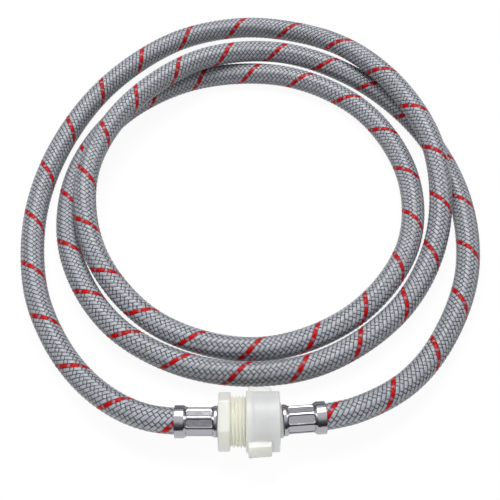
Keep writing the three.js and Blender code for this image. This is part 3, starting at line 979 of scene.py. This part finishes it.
def steelMaterial():
    material, tree = newMaterial("stainless steel, drawn and polished")
    place = addNode(tree, "ShaderNodeTexCoord")
    ripple = addNode(tree, "ShaderNodeTexNoise",
                     {"Scale": grains(steel["rippleSize"]), "Detail": 2.0},
                     {"Vector": place.outputs["Object"]})
    scratch = addNode(tree, "ShaderNodeTexNoise",
                      {"Scale": grains(steel["scratchSize"]), "Detail": 2.0},
                      {"Vector": place.outputs["Object"]})
    soft = addNode(tree, "ShaderNodeBump",
                   {"Strength": 0.35, "Distance": steel["rippleDepth"] * metre},
                   {"Height": ripple.outputs["Fac"]})
    bump = addNode(tree, "ShaderNodeBump",
                   {"Strength": 0.08, "Distance": steel["scratchDepth"] * metre},
                   {"Height": scratch.outputs["Fac"], "Normal": soft.outputs["Normal"]})
    shader = addNode(tree, "ShaderNodeBsdfPrincipled",
                     {"Base Color": linear(steel["tone"]), "Metallic": 1.0,
                      "Roughness": steel["roughness"]},
                     {"Normal": bump.outputs["Normal"]})
    addNode(tree, "ShaderNodeOutputMaterial", links={"Surface": shader.outputs["BSDF"]})
    return material


polyamide = plasticMaterial("polyamide, natural, moulded")
nutPolyamide = plasticMaterial("polyamide, natural, moulded thin", showsWasher=True)
stainless = steelMaterial()
makeConnector(polyamide)
makeNut(nutPolyamide)
makeTail(polyamide)
makeWasher(rubber)
makeFerrule("ferrule_left_shell", stainless, "left_ferrule", ferrule["leftTurn"], False, leftMouth)
makeFerrule("ferrule_right_shell", stainless, "right_ferrule", ferrule["rightTurn"], True,
            rightMouth)
print("fittings made")

# Floor and light: white all round for the camera, with softboxes, and a darker room for the
# object to mirror.
studio = {
    "floor": 3.0,  # metres across
    "floorTone": "#a8a8a8",
    "floorGlow": 1.14,
    "floorShare": 0.82,  # how much of what is seen of the floor is glow, and not lit paper
    "softboxes": [
        # place, aim, width, height, watts, whether metal mirrors it
        ((-0.05, 0.5, 0.8), (0.0, 0.12, 0.0), 0.6, 0.5, 7.1, True),
        ((0.6, 0.1, 0.5), (0.0, 0.12, 0.0), 0.25, 0.4, 0.8, True),
        ((-0.6, 0.0, 0.5), (0.0, 0.12, 0.0), 0.25, 0.4, 0.8, True),
        ((0.0, -0.27, 0.12), (0.0, 0.0, 0.016), 0.2, 0.1, 0.5, False),
    ],
    # the room's brightness from the floor's level to overhead, and how much sooner it is bright
    # behind the coil than in front of it
    "room": [(0.0, "#3c3d41"), (0.3, "#5c5d62"), (0.52, "#909196"), (0.7, "#dcdde0"),
             (0.88, "#ffffff")],
    "roomRear": 0.3,
    "roomLight": 0.2,
    "roomGloss": 1.0,
}


def addSoftbox(number, place, aim, width, height, watts, mirrored):
    data = bpy.data.lights.new(f"softbox {number}", "AREA")
    data.shape = "RECTANGLE"
    data.size, data.size_y, data.energy = width, height, watts
    lamp = bpy.data.objects.new(f"softbox {number}", data)
    lamp.location = place
    lamp.rotation_euler = (Vector(aim) - Vector(place)).to_track_quat("-Z", "Y").to_euler()
    lamp.visible_camera = False
    lamp.visible_glossy = mirrored
    bpy.context.scene.collection.objects.link(lamp)


# Paper backdrop, matt and white: what is seen of it glows evenly, and it still takes a shadow.
def floorMaterial():
    material, tree = newMaterial("paper backdrop, white")
    paper = addNode(tree, "ShaderNodeBsdfDiffuse", {"Color": linear(studio["floorTone"])})
    glow = addNode(tree, "ShaderNodeEmission",
                   {"Color": linear("#ffffff"), "Strength": studio["floorGlow"]})
    seen = addNode(tree, "ShaderNodeLightPath")
    both = addNode(tree, "ShaderNodeMath", links={0: seen.outputs["Is Camera Ray"],
                                                  1: seen.outputs["Is Glossy Ray"]},
                   operation="MAXIMUM")
    seenAtAll = addNode(tree, "ShaderNodeMath", links={0: both.outputs[0],
                                                       1: seen.outputs["Is Transmission Ray"]},
                        operation="MAXIMUM")
    share = addNode(tree, "ShaderNodeMath", {1: studio["floorShare"]},
                    {0: seenAtAll.outputs[0]}, operation="MULTIPLY")
    mixed = addNode(tree, "ShaderNodeMixShader", links={0: share.outputs[0],
                                                        1: paper.outputs["BSDF"],
                                                        2: glow.outputs["Emission"]})
    addNode(tree, "ShaderNodeOutputMaterial", links={"Surface": mixed.outputs["Shader"]})
    return material


def makeFloor():
    half = studio["floor"] / 2
    mesh = bpy.data.meshes.new("floor")
    mesh.from_pydata([(-half, -half, 0), (half, -half, 0), (half, half, 0), (-half, half, 0)], [],
                     [(0, 1, 2, 3)])
    mesh.materials.append(floorMaterial())
    floor = bpy.data.objects.new("floor", mesh)
    bpy.context.scene.collection.objects.link(floor)


# The room: dark low down and in front, bright above and behind. Metal and plastic mirror it more
# strongly than it lights them, and the camera sees white all round.
def makeRoom():
    world = bpy.data.worlds.new("room")
    world.use_nodes = True
    tree = world.node_tree
    tree.nodes.clear()
    place = addNode(tree, "ShaderNodeTexCoord")
    split = addNode(tree, "ShaderNodeSeparateXYZ", links={"Vector": place.outputs["Generated"]})
    level = addNode(tree, "ShaderNodeMath", {1: studio["roomRear"]},
                    {0: split.outputs["Y"], 2: split.outputs["Z"]}, operation="MULTIPLY_ADD")
    room = addNode(tree, "ShaderNodeValToRGB", links={"Fac": level.outputs[0]})
    stops = room.color_ramp.elements
    while len(stops) < len(studio["room"]):
        stops.new(0.5)
    for stop, (level, tone) in zip(stops, studio["room"]):
        stop.position, stop.color = level, linear(tone)
    seen = addNode(tree, "ShaderNodeLightPath")
    mirrored = addNode(tree, "ShaderNodeMath", links={0: seen.outputs["Is Glossy Ray"],
                                                      1: seen.outputs["Is Transmission Ray"]},
                       operation="MAXIMUM")
    strength = addNode(tree, "ShaderNodeMapRange",
                       {3: studio["roomLight"], 4: studio["roomGloss"]}, {0: mirrored.outputs[0]})
    lit = addNode(tree, "ShaderNodeBackground", links={"Color": room.outputs["Color"],
                                                       "Strength": strength.outputs[0]})
    white = addNode(tree, "ShaderNodeBackground", {"Color": linear("#ffffff"), "Strength": 1.0})
    mixed = addNode(tree, "ShaderNodeMixShader", links={0: seen.outputs["Is Camera Ray"],
                                                        1: lit.outputs["Background"],
                                                        2: white.outputs["Background"]})
    addNode(tree, "ShaderNodeOutputWorld", links={"Surface": mixed.outputs["Shader"]})
    bpy.context.scene.world = world


for number, softbox in enumerate(studio["softboxes"]):
    addSoftbox(number, *softbox)
makeFloor()
makeRoom()
bpy.context.scene.view_settings.view_transform = "Standard"
print("lit")
